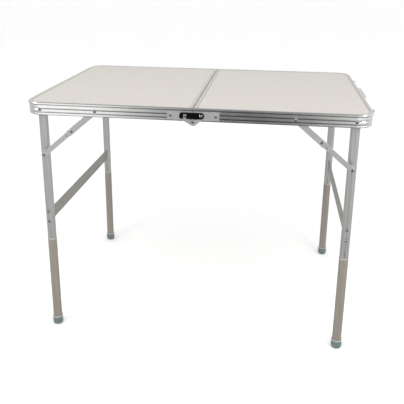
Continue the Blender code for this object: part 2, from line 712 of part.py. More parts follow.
def rectangle(y, z, half_y, half_z, cut):
    return [
        (y - half_y + cut, z - half_z), (y + half_y - cut, z - half_z), (y + half_y, z - half_z + cut),
        (y + half_y, z + half_z - cut), (y + half_y - cut, z + half_z), (y - half_y + cut, z + half_z),
        (y - half_y, z + half_z - cut), (y - half_y, z - half_z + cut),
    ]


def latch_base(end_name):
    """Plate on the end rail with two lugs that hold the hasp's pin."""
    y = ENDS[end_name] * LATCH_Y
    back = RIB_X + GAP
    outline = rectangle(y, 0.6550, 0.0150, 0.0105, 0.0015)
    base = plate_yz("latch_base", [outline], back, back + 0.0012, (y, 0.6550))
    for lug in (-1, 1):
        middle = y + lug * 0.0115
        loop = [(back + 0.0006, LATCH_PIVOT_Z - 0.0030)]
        loop += arc((LATCH_PIVOT_X, LATCH_PIVOT_Z), 0.0030, -90, 90, 6)
        loop.append((back + 0.0006, LATCH_PIVOT_Z + 0.0030))
        hole = circle((LATCH_PIVOT_X, LATCH_PIVOT_Z), 0.0014, 10)
        boolean(base, plate_xz("lug", [loop, hole], middle - 0.001, middle + 0.001, 1), "UNION")
    return finish(base, f"latch_base_{end_name}", STEEL)


def latch_hasp(end_name):
    """Strip folded flat against the rail, with a turned-out finger tab."""
    y = ENDS[end_name] * LATCH_Y
    x, z = LATCH_PIVOT_X, LATCH_PIVOT_Z
    top = z + LATCH_LENGTH
    section = arc((x, z), 0.0022, 90, 330, 8)
    section += [(x + 0.0022, z + 0.0006), (x + 0.0010, z + 0.0030), (x + 0.0010, top - 0.0014)]
    section += [(LATCH_TAB_REACH, top - 0.0014), (LATCH_TAB_REACH, top), (x + 0.0002, top), (x - 0.0006, top - 0.0006)]
    section += [(x - 0.0006, z + 0.0028)]
    hasp = plate_xz("hasp", [section], y - 0.0100, y + 0.0100, 1, (x, z))
    pin = rods("hasp_pin", [((x, y - 0.0122, z), (x, y + 0.0122, z), 0.0011)], 10)
    boolean(hasp, pin, "UNION")
    return finish(hasp, f"latch_hasp_{end_name}", STEEL)


def catch_plate(end_name):
    """Small hooked keeper on the left end that the hasp's tab pulls against."""
    y = ENDS[end_name] * LATCH_Y
    back = RIB_X + GAP
    section = [
        (back, 0.6440), (back + 0.0012, 0.6440), (back + 0.0012, 0.6490), (back + 0.0032, 0.6490),
        (back + 0.0032, 0.6530), (back + 0.0024, 0.6530), (back + 0.0024, 0.6502), (back + 0.0012, 0.6502),
        (back + 0.0012, 0.6590), (back, 0.6590),
    ]
    keeper = plate_xz("keeper", [[(-x, z) for x, z in section]], y - 0.0080, y + 0.0080, 1)
    return finish(keeper, f"catch_plate_{end_name}", STEEL)


def handle_bracket(end_name):
    """Moulded lug that carries one end of the grip."""
    end = ENDS[end_name]
    back = RIB_X + GAP
    x, z = HANDLE_PIVOT_X, HANDLE_PIVOT_Z
    loop = [(back, z - 0.0035)]
    loop += arc((x, z), 0.0042, -70, 60, 6)
    loop += [(x, z + 0.0080), (back + 0.0022, z + 0.0190), (back, z + 0.0190)]
    hole = circle((x, z), 0.0021, 12)
    inner = HANDLE_HALF_LENGTH + GAP
    bracket = plate_xz("bracket", [loop, hole], inner, inner + 0.0110, end)
    return finish(bracket, f"handle_bracket_{end_name}", GRIP)


def handle_grip():
    """Bail with a round bar, two arms and a stub axle at each end."""
    x, z = HANDLE_PIVOT_X, HANDLE_PIVOT_Z
    bar_x, bar_z = x - 0.0008, z + HANDLE_BAR_RISE
    half = HANDLE_HALF_LENGTH
    data = bpy.data.curves.new("grip", "CURVE")
    data.dimensions = "3D"
    data.bevel_depth = HANDLE_BAR_RADIUS
    data.bevel_resolution = 2
    data.use_fill_caps = True
    bend = 0.010
    path = [(-half + 0.0042, z)]
    path += arc((-half + 0.0042 + bend, bar_z - bend), bend, 180, 90, 3)
    path += arc((half - 0.0042 - bend, bar_z - bend), bend, 90, 0, 3)
    path.append((half - 0.0042, z))
    line = data.splines.new("POLY")
    line.points.add(len(path) - 1)
    for point, (y, height) in zip(line.points, path):
        share = (height - z) / (bar_z - z)
        point.co = ((bar_x - x) * share, y, height - z, 1)
    grip = bpy.data.objects.new("grip", data)
    grip.location = (x, 0, z)
    CUTTERS.objects.link(grip)
    solid = as_mesh(grip)
    for end in ENDS.values():
        hub = ((x, end * (half - 0.0085), z), (x, end * half, z), 0.0041)
        stub = ((x, end * (half - 0.004), z), (x, end * (half + 0.0085), z), 0.0018)
        boolean(solid, rods("hub", [hub], 16), "UNION")
        boolean(solid, rods("stub", [stub], 12), "UNION")
    finish(solid, "handle_grip", GRIP)
    return smooth(solid, 50)


# ---------------------------------------------------------------- assembly
def build():
    for side_name in SIDES:
        edge_rail(side_name)
        panel(side_name)
        centre_rail(side_name)
        crossbar(side_name)
        for end_name in ENDS:
            hinge_plate(side_name, end_name)
            upper_leg(side_name, end_name)
            leg_pivot_rivet(side_name, end_name)
            leg_plug(side_name, end_name)
            lower_leg(side_name, end_name)
            foot_cap(side_name, end_name)
            upper_stay(side_name, end_name)
            lower_stay(side_name, end_name)
            stay_rivet(side_name, end_name)
    for end_name in ENDS:
        hinge_pin(end_name)
        lock_hook(end_name)
        latch_base(end_name)
        latch_hasp(end_name)
        catch_plate(end_name)
        handle_bracket(end_name)
    handle_grip()


build()
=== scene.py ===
import math

import bpy
from mathutils import Matrix, Vector


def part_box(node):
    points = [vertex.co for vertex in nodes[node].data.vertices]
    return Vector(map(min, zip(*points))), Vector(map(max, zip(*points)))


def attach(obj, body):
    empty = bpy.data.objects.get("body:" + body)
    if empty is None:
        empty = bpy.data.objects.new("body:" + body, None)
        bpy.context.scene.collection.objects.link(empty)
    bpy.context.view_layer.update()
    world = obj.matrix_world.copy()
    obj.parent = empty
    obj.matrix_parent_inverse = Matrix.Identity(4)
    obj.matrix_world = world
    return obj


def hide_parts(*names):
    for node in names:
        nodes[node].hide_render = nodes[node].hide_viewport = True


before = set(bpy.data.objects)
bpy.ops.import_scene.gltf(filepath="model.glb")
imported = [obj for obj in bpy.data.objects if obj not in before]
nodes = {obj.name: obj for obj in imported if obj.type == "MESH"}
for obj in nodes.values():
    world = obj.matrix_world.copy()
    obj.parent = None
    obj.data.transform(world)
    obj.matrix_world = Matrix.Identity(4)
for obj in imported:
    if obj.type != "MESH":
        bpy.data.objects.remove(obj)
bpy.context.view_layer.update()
sides = ("left", "right")
ends = ("front", "rear")
outward = {"left": -1, "right": 1, "front": -1, "rear": 1}
print("frame loaded,", len(nodes), "pieces")


# ---- materials: all patterns use Object coordinates ----
def addNode(tree, kind, inputs, **values):
    # inputs are sockets to link from, or plain values
    made = tree.nodes.new(kind)
    for key, value in values.items():
        setattr(made, key, value)
    for key, value in inputs.items():
        if isinstance(value, bpy.types.NodeSocket):
            tree.links.new(value, made.inputs[key])
        else:
            made.inputs[key].default_value = value
    return made


def newMaterial(name, colour, roughness, metallic=0.0):
    made = bpy.data.materials.new(name)
    made.use_nodes = True
    shader = made.node_tree.nodes["Principled BSDF"]
    shader.inputs["Base Color"].default_value = (*colour, 1.0)
    shader.inputs["Roughness"].default_value = roughness
    shader.inputs["Metallic"].default_value = metallic
    return made, made.node_tree, shader


def stretchedNoise(tree, stretch, scale, detail=4.0, rough=0.6):
    # a small number in stretch draws long streaks on that axis
    place = addNode(tree, "ShaderNodeTexCoord", {})
    mapping = addNode(tree, "ShaderNodeMapping", {"Vector": place.outputs["Object"], "Scale": stretch})
    noise = addNode(tree, "ShaderNodeTexNoise", {
        "Vector": mapping.outputs["Vector"], "Scale": scale, "Detail": detail, "Roughness": rough,
    })
    return noise.outputs["Fac"]


def evenNoise(tree, scale, detail=4.0):
    return stretchedNoise(tree, (1, 1, 1), scale, detail)


def spread(tree, value, low, high, fromLow=0.3, fromHigh=0.7):
    # noise values mostly lie between 0.3 and 0.7
    made = addNode(tree, "ShaderNodeMapRange", {
        "Value": value, "From Min": fromLow, "From Max": fromHigh, "To Min": low, "To Max": high,
    })
    return made.outputs["Result"]


def mixColour(tree, factor, first, second, **values):
    made = addNode(tree, "ShaderNodeMix", {"Factor": factor, "A": first, "B": second}, data_type="RGBA", **values)
    return made.outputs["Result"]


def mixLevel(tree, factor, first, second):
    made = addNode(tree, "ShaderNodeMix", {"Factor": factor, "A": first, "B": second}, data_type="FLOAT")
    return made.outputs["Result"]


def twoTone(tree, value, dark, light):
    return mixColour(tree, value, (*dark, 1.0), (*light, 1.0))


def addBump(tree, shader, height, strength, distance):
    made = addNode(tree, "ShaderNodeBump", {"Height": height, "Strength": strength, "Distance": distance})
    tree.links.new(made.outputs["Normal"], shader.inputs["Normal"])


laminateLook = {
    "pale": (0.588, 0.559, 0.528), "fleck": (0.500, 0.473, 0.444), "fleckSize": 620.0, "fleckRange": (0.44, 0.68),
    "blotch": (0.955, 0.950, 0.945), "blotchSize": 150.0, "blotchRange": (0.38, 0.62),
    "roughness": (0.44, 0.54), "specular": 0.12,
    "grainSize": 420.0, "grainStrength": 0.12, "grainDepth": 0.0002,
}
edgeShade = {
    "halfLength": 0.4399, "halfWidth": 0.2899, "corner": 0.0349, "colour": (0.30, 0.235, 0.18),
    "bandStart": 0.0026, "bandEnd": 0.00091, "strength": 0.62,
}


def rimShade(tree, colour):
    # a thin brown line where the laminate meets the rail's lip, round the corners too
    e = edgeShade
    corner = e["corner"]
    middle = (e["halfLength"] - corner, e["halfWidth"] - corner, 10.0)  # the line ignores the height
    place = addNode(tree, "ShaderNodeTexCoord", {})
    away = addNode(tree, "ShaderNodeVectorMath", {0: place.outputs["Object"]}, operation="ABSOLUTE")
    past = addNode(tree, "ShaderNodeVectorMath", {0: away.outputs["Vector"], 1: middle}, operation="SUBTRACT")
    outer = addNode(tree, "ShaderNodeVectorMath", {0: past.outputs["Vector"], 1: (0, 0, 0)}, operation="MAXIMUM")
    distance = addNode(tree, "ShaderNodeVectorMath", {0: outer.outputs["Vector"]}, operation="LENGTH")
    reach = distance.outputs["Value"]
    mask = spread(tree, reach, 0.0, e["strength"], corner - e["bandStart"], corner - e["bandEnd"])
    return mixColour(tree, mask, colour, (*e["colour"], 1.0))


def laminate(name):
    look = laminateLook
    made, tree, shader = newMaterial(name, look["pale"], look["roughness"][0])
    shader.inputs["Specular IOR Level"].default_value = look["specular"]
    fine = spread(tree, evenNoise(tree, look["fleckSize"], detail=2.0), 0.0, 1.0, *look["fleckRange"])
    flecked = twoTone(tree, fine, look["pale"], look["fleck"])
    cloud = spread(tree, evenNoise(tree, look["blotchSize"], detail=3.0), 0.0, 1.0, *look["blotchRange"])
    shade = twoTone(tree, cloud, look["blotch"], (1.0, 1.0, 1.0))
    mixed = mixColour(tree, 1.0, flecked, shade, blend_type="MULTIPLY")
    tree.links.new(rimShade(tree, mixed), shader.inputs["Base Color"])
    tree.links.new(spread(tree, fine, *look["roughness"], 0.0, 1.0), shader.inputs["Roughness"])
    addBump(tree, shader, evenNoise(tree, look["grainSize"], detail=3.0), look["grainStrength"], look["grainDepth"])
    return made


metalWear = {"size": 28.0, "grainDepth": 0.0002}
plasticWear = {"size": 120.0, "range": 0.06, "cloudSize": 45.0, "grainSize": 700.0, "grain": 0.15, "grainDepth": 0.0001}


def drawnMetal(name, dark, light, roughness, streak=(1, 1, 1), streakSize=500.0, grain=0.10, metal=1.0):
    made, tree, shader = newMaterial(name, light, roughness[0], metal)
    streaks = stretchedNoise(tree, streak, streakSize, detail=5.0, rough=0.65)
    tree.links.new(twoTone(tree, spread(tree, streaks, 0.0, 1.0), dark, light), shader.inputs["Base Color"])
    tree.links.new(spread(tree, evenNoise(tree, metalWear["size"]), *roughness), shader.inputs["Roughness"])
    addBump(tree, shader, streaks, grain, metalWear["grainDepth"])
    return made


def coatedTube(name):
    t = tubeLook
    made, tree, shader = newMaterial(name, t["light"], t["roughness"][0], t["metal"])
    streaks = spread(tree, stretchedNoise(tree, t["streak"], t["streakSize"]), 0.0, 1.0)
    tree.links.new(twoTone(tree, streaks, t["dark"], t["light"]), shader.inputs["Base Color"])
    tree.links.new(spread(tree, evenNoise(tree, t["wearSize"]), *t["roughness"]), shader.inputs["Roughness"])
    addBump(tree, shader, evenNoise(tree, t["grainSize"], detail=2.0), t["grain"], t["grainDepth"])
    return made


def mouldedPlastic(name, dark, light, roughness, specular=0.5):
    p = plasticWear
    made, tree, shader = newMaterial(name, light, roughness)
    shader.inputs["Specular IOR Level"].default_value = specular
    cloud = spread(tree, evenNoise(tree, p["cloudSize"], detail=3.0), 0.0, 1.0)
    tree.links.new(twoTone(tree, cloud, dark, light), shader.inputs["Base Color"])
    worn = spread(tree, evenNoise(tree, p["size"]), roughness - p["range"], roughness + p["range"])
    tree.links.new(worn, shader.inputs["Roughness"])
    addBump(tree, shader, evenNoise(tree, p["grainSize"], detail=2.0), p["grain"], p["grainDepth"])
    return made


metalLooks = {
    "railMetal": {"dark": (0.76, 0.76, 0.75), "light": (0.88, 0.88, 0.87), "roughness": (0.12, 0.18),
                  "streak": (0.05, 0.05, 1), "streakSize": 900.0, "grain": 0.04},
    "seamMetal": {"dark": (0.57, 0.558, 0.54), "light": (0.64, 0.628, 0.61), "roughness": (0.34, 0.44),
                  "streak": (1, 0.03, 1), "streakSize": 900.0, "metal": 0.5},
    "tubeMetal": {"dark": (0.43, 0.43, 0.425), "light": (0.52, 0.52, 0.51), "roughness": (0.30, 0.40),
                  "streak": (1, 1, 0.02), "grain": 0.06, "metal": 0.8},
    "stayMetal": {"dark": (0.385, 0.385, 0.375), "light": (0.45, 0.45, 0.44), "roughness": (0.34, 0.46),
                  "streak": (0.2, 1, 1), "metal": 0.5},
    "barMetal": {"dark": (0.275, 0.262, 0.24), "light": (0.33, 0.315, 0.288), "roughness": (0.36, 0.48),
                 "streak": (1, 0.02, 1), "metal": 0.5},
    "plateMetal": {"dark": (0.365, 0.365, 0.36), "light": (0.435, 0.435, 0.43), "roughness": (0.30, 0.42),
                   "streak": (0.3, 1, 1), "streakSize": 350.0, "metal": 0.5},
    "rivetMetal": {"dark": (0.27, 0.275, 0.28), "light": (0.34, 0.345, 0.35), "roughness": (0.07, 0.12),
                   "streakSize": 600.0, "grain": 0.03},
    "rivetHollowShade": {"dark": (0.02, 0.02, 0.02), "light": (0.05, 0.05, 0.05), "roughness": (0.40, 0.55),
                    "streakSize": 600.0},
    "edgeMetalHighlight": {"dark": (0.74, 0.74, 0.73), "light": (0.82, 0.82, 0.81), "roughness": (0.28, 0.38), "grain": 0.03},
}
plasticLooks = {
    "rimPlastic": {"dark": (0.47, 0.515, 0.51), "light": (0.54, 0.585, 0.58), "roughness": 0.45},
    "ringPlastic": {"dark": (0.40, 0.385, 0.36), "light": (0.46, 0.445, 0.42), "roughness": 0.45},
    "capPlastic": {"dark": (0.118, 0.158, 0.158), "light": (0.155, 0.198, 0.196), "roughness": 0.46},
    "hookPlastic": {"dark": (0.0015, 0.0014, 0.0014), "light": (0.004, 0.0038, 0.0036), "roughness": 0.42,
                    "specular": 0.05},
    "gripPlastic": {"dark": (0.47, 0.47, 0.452), "light": (0.54, 0.54, 0.522), "roughness": 0.42},
}
tubeLook = {
    "dark": (0.262, 0.238, 0.201), "light": (0.322, 0.292, 0.250), "roughness": (0.35, 0.48), "metal": 0.35,
    "streak": (1, 1, 0.02), "streakSize": 260.0, "wearSize": 60.0,
    "grainSize": 900.0, "grain": 0.08, "grainDepth": 0.0001,
}

looks = {"panelFace": laminate("panelFace"), "lowerTube": coatedTube("lowerTube")}
looks.update({name: drawnMetal(name, **values) for name, values in metalLooks.items()})
looks.update({name: mouldedPlastic(name, **values) for name, values in plasticLooks.items()})

seamShade = {
    "inner": 0.0009, "outer": 0.0016, "colour": (0.03, 0.03, 0.03),
    "dashStretch": (0.05, 1, 0.05), "dashSize": 95.0, "dashRange": (0.40, 0.55), "gapLevel": 0.45,
}


def paintedSeamShade(material):
    # painted shade: the metal beside the joint between the two centre strips is darkened in short dashes, standing in
    # for the gap's shadow
    s = seamShade
    tree = material.node_tree
    colour = tree.nodes["Principled BSDF"].inputs["Base Color"]
    place = addNode(tree, "ShaderNodeTexCoord", {})
    parts = addNode(tree, "ShaderNodeSeparateXYZ", {"Vector": place.outputs["Object"]})
    offset = addNode(tree, "ShaderNodeMath", {0: parts.outputs["X"]}, operation="ABSOLUTE")
    near = spread(tree, offset.outputs["Value"], 1.0, 0.0, s["inner"], s["outer"])
    pattern = stretchedNoise(tree, s["dashStretch"], s["dashSize"], detail=3.0)
    dashes = spread(tree, pattern, s["gapLevel"], 1.0, *s["dashRange"])
    mask = addNode(tree, "ShaderNodeMath", {0: near, 1: dashes}, operation="MULTIPLY")
    shaded = mixColour(tree, mask.outputs["Value"], colour.links[0].from_socket, (*s["colour"], 1.0))
    tree.links.new(shaded, colour)


paintedSeamShade(looks["seamMetal"])
print("materials made")


# ---- dressing for the metal pieces whose shape is already right ----
dressing = {"weld": 0.00001, "flatAngle": 0.4, "sharpAngle": 33, "segments": 2, "normalWeight": 80}


def dressNode(name, look, edge, brightEdge=False):
    node = nodes[name]
    node.data.materials.clear()
    node.data.materials.append(looks[look])
    node.data.polygons.foreach_set("use_smooth", [True] * len(node.data.polygons))
    weld = node.modifiers.new("weld", "WELD")
    weld.merge_threshold = dressing["weld"]
    flat = node.modifiers.new("flatFaces", "DECIMATE")
    flat.decimate_type = "DISSOLVE"
    flat.angle_limit = math.radians(dressing["flatAngle"])
    if edge:
        bevel = node.modifiers.new("softEdges", "BEVEL")
        bevel.width = edge
        bevel.segments = dressing["segments"]
        bevel.limit_method = "ANGLE"
        bevel.angle_limit = math.radians(dressing["sharpAngle"])
        bevel.use_clamp_overlap = True
        if brightEdge:  # sheared edges are bare metal; their brighter colour also paints a highlight line along them
            node.data.materials.append(looks["edgeMetalHighlight"])
            bevel.material = 1
    even = node.modifiers.new("evenShading", "WEIGHTED_NORMAL")
    even.weight = dressing["normalWeight"]


for side in sides:
    dressNode(f"{side}_panel", "panelFace", edge=0.0002)
    dressNode(f"{side}_edge_rail", "railMetal", edge=0.00025)
    dressNode(f"{side}_centre_rail", "seamMetal", edge=0.00025)
    dressNode(f"crossbar_{side}", "barMetal", edge=0.00025)
    for end in ends:
        dressNode(f"hinge_plate_{side}_{end}", "plateMetal", edge=0.00025)
        dressNode(f"leg_pivot_rivet_{side}_{end}", "rivetMetal", edge=0.0002)
        dressNode(f"stay_rivet_{side}_{end}", "rivetMetal", edge=0.0002)
        dressNode(f"upper_leg_{side}_{end}", "tubeMetal", edge=0)
        dressNode(f"leg_plug_{side}_{end}", "ringPlastic", edge=0.0003)
        dressNode(f"lower_leg_{side}_{end}", "lowerTube", edge=0.0003)
        dressNode(f"foot_cap_{side}_{end}", "capPlastic", edge=0.0004)
        dressNode(f"upper_stay_{side}_{end}", "stayMetal", edge=0.0004, brightEdge=True)
        dressNode(f"lower_stay_{side}_{end}", "stayMetal", edge=0.0005, brightEdge=True)
for end in ends:
    dressNode(f"hinge_pin_{end}", "rivetMetal", edge=0.0002)
    dressNode(f"lock_hook_{end}", "hookPlastic", edge=0.0005)
    dressNode(f"latch_base_{end}", "plateMetal", edge=0.0002)
    dressNode(f"latch_hasp_{end}", "plateMetal", edge=0.0002)
    dressNode(f"catch_plate_{end}", "plateMetal", edge=0.0002)
    dressNode(f"handle_bracket_{end}", "gripPlastic", edge=0.0004)
dressNode("handle_grip", "gripPlastic", edge=0)
print("metal pieces dressed")


# ---- shaping helpers for the new pieces ----
def turnedPiece(name, place, axis, rings, corners):
    # rings are (height along the axis, radius) from the first end to the last
    bpy.ops.object.select_all(action="DESELECT")
    axis = Vector(axis)
    place = Vector(place)
    bpy.ops.mesh.primitive_circle_add(
        vertices=corners, radius=rings[0][1], fill_type="NGON",
        location=place + axis * rings[0][0], rotation=axis.to_track_quat("Z", "Y").to_euler(),
    )
    piece = bpy.context.object
    piece.name = name
    piece.data.name = name
    bpy.ops.object.transform_apply(location=True, rotation=True, scale=True)
    bpy.ops.object.mode_set(mode="EDIT")
    bpy.ops.mesh.select_mode(type="FACE")
    bpy.ops.mesh.select_all(action="SELECT")
    for (low, wide), (high, narrow) in zip(rings, rings[1:]):
        bpy.ops.mesh.extrude_region_move(TRANSFORM_OT_translate={"value": axis * (high - low)})
        factor = narrow / wide
        bpy.ops.transform.resize(value=(factor, factor, factor), center_override=place + axis * high)
    bpy.ops.mesh.select_all(action="SELECT")
    bpy.ops.mesh.remove_doubles(threshold=0.000005)
    bpy.ops.mesh.normals_make_consistent(inside=False)
    bpy.ops.object.mode_set(mode="OBJECT")
    return piece


def selectOnly(piece):
    bpy.ops.object.select_all(action="DESELECT")
    piece.select_set(True)
    bpy.context.view_layer.objects.active = piece


def smoothed(piece, angle):
    selectOnly(piece)
    bpy.ops.object.shade_smooth_by_angle(angle=math.radians(angle))


def givePiece(piece, look, body):
    piece.data.materials.clear()
    piece.data.materials.append(looks[look])
    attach(piece, body)


def secondLook(piece, look, chosen):
    # the faces that chosen() picks get another material
    piece.data.materials.append(looks[look])
    for face in piece.data.polygons:
        if chosen(face.center):
            face.material_index = 1


def copyOf(master, name, scale, move, turnRound):
    made = master.copy()
    made.data = master.data.copy()
    made.name = name
    made.data.name = name
    bpy.context.scene.collection.objects.link(made)
    made.data.transform(Matrix.Diagonal((*scale, 1.0)))
    if turnRound:
        made.data.transform(Matrix.Rotation(math.pi, 4, "Z"))
    made.data.transform(Matrix.Translation(move))
    return made


# ---- rivet and screw heads: one dome and one eyelet, copied to each place ----
# size is radius and height; place is along and across from the middle of the table, and height
heads = {
    "pivot": {"size": (0.0043, 0.0020), "place": (0.405, 0.2981, 0.6555)},
    "stay": {"size": (0.0043, 0.0020), "place": (0.257, 0.2981, 0.6555)},
    "plate": {"size": (0.0043, 0.0020), "place": (0.058, 0.2995, 0.6555)},
    "knee": {"size": (0.0041, 0.0014), "place": (0.323896, 0.2945, 0.598232)},
    "link": {"size": (0.0043, 0.0015), "place": (0.405, 0.2928, 0.5288)},
    "bar": {"size": (0.0042, 0.0018), "place": (0.405, 0.2888, 0.3472)},
    "studLeft": {"size": (0.0043, 0.0017), "place": (0.0205, 0.3030, 0.6555)},
    "studRight": {"size": (0.0045, 0.0017), "place": (0.0205, 0.3030, 0.6555)},
    "pin": {"size": (0.0046, 0.0019), "place": (0.0, 0.3017, 0.640)},
}
headShape = {
    "proud": 0.00004, "barSpacing": 0.0154, "hollow": 0.5, "corners": 28, "smooth": 60,
    "dome": (
        (0.0, 0.94), (0.10, 1.0), (0.20, 1.0), (0.42, 0.93), (0.62, 0.80), (0.78, 0.64), (0.90, 0.45),
        (0.97, 0.25), (1.0, 0.08),
    ),
    "eyelet": (
        (0.0, 0.94), (0.12, 1.0), (0.26, 1.0), (0.62, 0.91), (0.88, 0.78), (1.0, 0.64), (0.95, 0.52),
        (0.74, 0.45), (0.30, 0.42), (0.12, 0.36),
    ),
}
# masters stand on y = 0 with radius 1 and height 1, facing the front
masters = {}
for shape in ("dome", "eyelet"):
    masters[shape] = turnedPiece(f"{shape}Master", (0, 0, 0), (0, -1, 0), headShape[shape], headShape["corners"])
    smoothed(masters[shape], headShape["smooth"])


def headAt(kind, name, way, end, body, shape="dome", lift=0.0):
    radius, height = (value + headShape["proud"] for value in heads[kind]["size"])
    along, across, up = heads[kind]["place"]
    x = way * along
    head = copyOf(masters[shape], name, (radius, height, radius), (x, outward[end] * across, up + lift), end == "rear")
    givePiece(head, "rivetMetal", body)
    if shape == "eyelet":
        # painted shade: the middle of each eyelet's shallow hollow is coloured near-black, standing in for the shade
        # deep in the bore
        reach = heads[kind]["size"][0] * headShape["hollow"]
        secondLook(head, "rivetHollowShade", lambda centre: math.hypot(centre.x - x, centre.z - up - lift) < reach)


for end in ends:
    for side in sides:
        way = outward[side]
        place = f"{side}_{end}"
        for kind in ("pivot", "stay", "plate"):
            headAt(kind, f"{kind}Head_{place}", way, end, f"{side}_half")
        headAt("knee", f"kneeHead_{place}", way, end, f"upper_link_{place}")
        headAt("link", f"linkHead_{place}", way, end, f"lower_link_{place}")
        for level, lift in (("low", -headShape["barSpacing"]), ("high", headShape["barSpacing"])):
            headAt("bar", f"barHead_{level}_{place}", way, end, f"{side}_leg_frame", "eyelet", lift)
    headAt("studLeft", f"studHead_left_{end}", -1, end, "left_half")
    headAt("studRight", f"studHead_right_{end}", 1, end, "right_half")
    headAt("pin", f"pinHead_{end}", 1, end, "left_half", "eyelet")
for master in masters.values():
    bpy.data.objects.remove(master)
print("rivet and screw heads placed")


# ---- foot caps: a cup with a brim and a stepped tread ----
# the step lists are height and radius, each counted from the size they are named after
capShape = {
    "body": 0.0143, "brim": 0.0147, "height": 0.0250, "bore": 0.0126, "floor": 0.0053,
    "tread": 0.0091, "bulge": (0.0017, 0.0123), "brimDrop": 0.0036, "brimSlope": 0.0004, "liner": 0.0014,
    "corners": 40, "smooth": 32,
    "treadSteps": ((0.0, -0.0030), (0.0, -0.0004), (0.0003, 0.0004), (0.0009, 0.0020)),
    "bodySteps": ((0.0032, -0.0011), (0.0046, -0.0004), (0.0062, 0.0)),
    "shoulderSteps": ((-0.0008, -0.0002), (0.0, -0.0001)),
    "lipSteps": ((-0.0014, 0.0), (-0.0007, 0.0), (-0.0002, -0.0003), (0.0, -0.0008)),
    "boreSteps": ((0.0, 0.0004), (-0.0005, 0.0)),
}


def footCap(side, end):
    c = capShape
    low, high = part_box(f"foot_cap_{side}_{end}")
    place = ((low.x + high.x) / 2, (low.y + high.y) / 2, 0.0)
    top = c["height"]
    brimZ = top - c["brimDrop"]
    rings = [(up, c["tread"] + out) for up, out in c["treadSteps"]]
    rings.append(c["bulge"])
    rings += [(up, c["body"] + out) for up, out in c["bodySteps"]]
    rings += [(brimZ + up, c["body"] + out) for up, out in c["shoulderSteps"]]
    rings.append((brimZ + c["brimSlope"], c["brim"]))
    rings += [(top + up, c["brim"] + out) for up, out in c["lipSteps"]]
    rings += [(top + up, c["bore"] + out) for up, out in c["boreSteps"]]
    rings.append((c["floor"], c["bore"]))
    cap = turnedPiece(f"capCup_{side}_{end}", place, (0, 0, 1), rings, c["corners"])
    smoothed(cap, c["smooth"])
    givePiece(cap, "capPlastic", f"extension_leg_{side}_{end}")
    secondLook(cap, "rimPlastic", lambda centre: centre.z > top - c["liner"])  # pale liner at the mouth
    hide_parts(f"foot_cap_{side}_{end}")


for side in sides:
    for end in ends:
        footCap(side, end)
print("foot caps made")


# ---- carrying handle: a moulded bar with finger waves on two arms ----
# pivot and bar are x and height; tips are length past the half and radius, arm is share of its length
# and radius, hub is distance outwards from its inner face and radius
grip = {
    "pivot": (0.4542, 0.6445), "bar": (0.4550, 0.6674), "radius": 0.0054, "half": 0.0515,
    "wave": 0.0007, "waves": 5, "waveSteps": 8, "waveReach": 0.0420,
    "tips": ((0.0, 0.0050), (0.0024, 0.0041), (0.0036, 0.0028), (0.0042, 0.0012)),
    "armY": 0.05175, "arm": ((0.0, 0.0036), (0.3, 0.0038), (0.7, 0.0040), (0.9, 0.0047), (1.0, 0.0043)),
    "hubY": 0.0475,
    "hub": ((0.0, 0.0034), (0.0007, 0.0041), (0.0079, 0.0041), (0.0085, 0.0036), (0.0085, 0.0018), (0.0170, 0.0018)),
    "barCorners": 28, "armCorners": 24, "smooth": 42,
}


def joined(piece, others):
    # welds the other shells into the first one
    for other in others:
        union = piece.modifiers.new("union", "BOOLEAN")
        union.operation = "UNION"
        union.solver = "EXACT"
        union.object = other
        selectOnly(piece)
        bpy.ops.object.modifier_apply(modifier=union.name)
        bpy.data.objects.remove(other)
    return piece


def gripSide(way):
    g = grip
    pivotX, pivotZ = g["pivot"]
    barX, barZ = g["bar"]
    foot = Vector((pivotX, way * g["armY"], pivotZ))
    rise = Vector((barX, way * g["armY"], barZ)) - foot
    rings = [(rise.length * share, radius) for share, radius in g["arm"]]
    arm = turnedPiece("gripArm", foot, rise.normalized(), rings, g["armCorners"])
    hub = turnedPiece("gripHub", (pivotX, way * g["hubY"], pivotZ), (0, way, 0), g["hub"], g["armCorners"])
    return [arm, hub]


def carryingGrip():
    g = grip
    barX, barZ = g["bar"]
    reach = g["waveReach"]
    steps = g["waves"] * g["waveSteps"]
    rings = [(-g["half"] - past, radius) for past, radius in reversed(g["tips"])]
    for step in range(steps + 1):
        dip = (1 - math.cos(2 * math.pi * step / g["waveSteps"])) / 2
        rings.append((-reach + 2 * reach * step / steps, g["radius"] - g["wave"] * dip))
    rings += [(g["half"] + past, radius) for past, radius in g["tips"]]
    bar = turnedPiece("gripBar", (barX, 0, barZ), (0, 1, 0), rings, g["barCorners"])
    whole = joined(bar, gripSide(-1) + gripSide(1))
    whole.name = "gripMoulding"
    whole.data.name = "gripMoulding"
    smoothed(whole, g["smooth"])
    givePiece(whole, "gripPlastic", "handle")
    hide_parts("handle_grip")


carryingGrip()
print("carrying handle made")


# ---- small screws on the latch bases, keepers and handle lugs ----
# rings are shares of height and radius; apart is half the distance between the two screws of a pair
screws = {
    "height": 0.0008, "latchY": 0.2, "corners": 20, "smooth": 50,
    "rings": (
        (0.0, 0.94), (0.15, 1.0), (0.35, 1.0), (0.70, 0.86), (0.92, 0.66), (1.0, 0.50), (0.80, 0.44), (0.35, 0.40),
    ),
    "latchScrew": {"x": 0.4492, "z": 0.6608, "apart": 0.0126, "radius": 0.0015, "facing": (1, 0, 0)},
    "catchScrew": {"x": -0.4492, "z": 0.6562, "apart": 0.0046, "radius": 0.0016, "facing": (-1, 0, 0)},
    "lugScrew": {"x": 0.4514, "z": 0.6600, "y": 0.0618, "radius": 0.0020, "facing": (0.9425, 0, 0.3342)},
}


def screwAt(kind, name, y, body):
    s = screws[kind]
    rings = [(height * screws["height"], wide * s["radius"]) for height, wide in screws["rings"]]
    piece = turnedPiece(name, (s["x"], y, s["z"]), s["facing"], rings, screws["corners"])
    smoothed(piece, screws["smooth"])
    givePiece(piece, "rivetMetal", body)


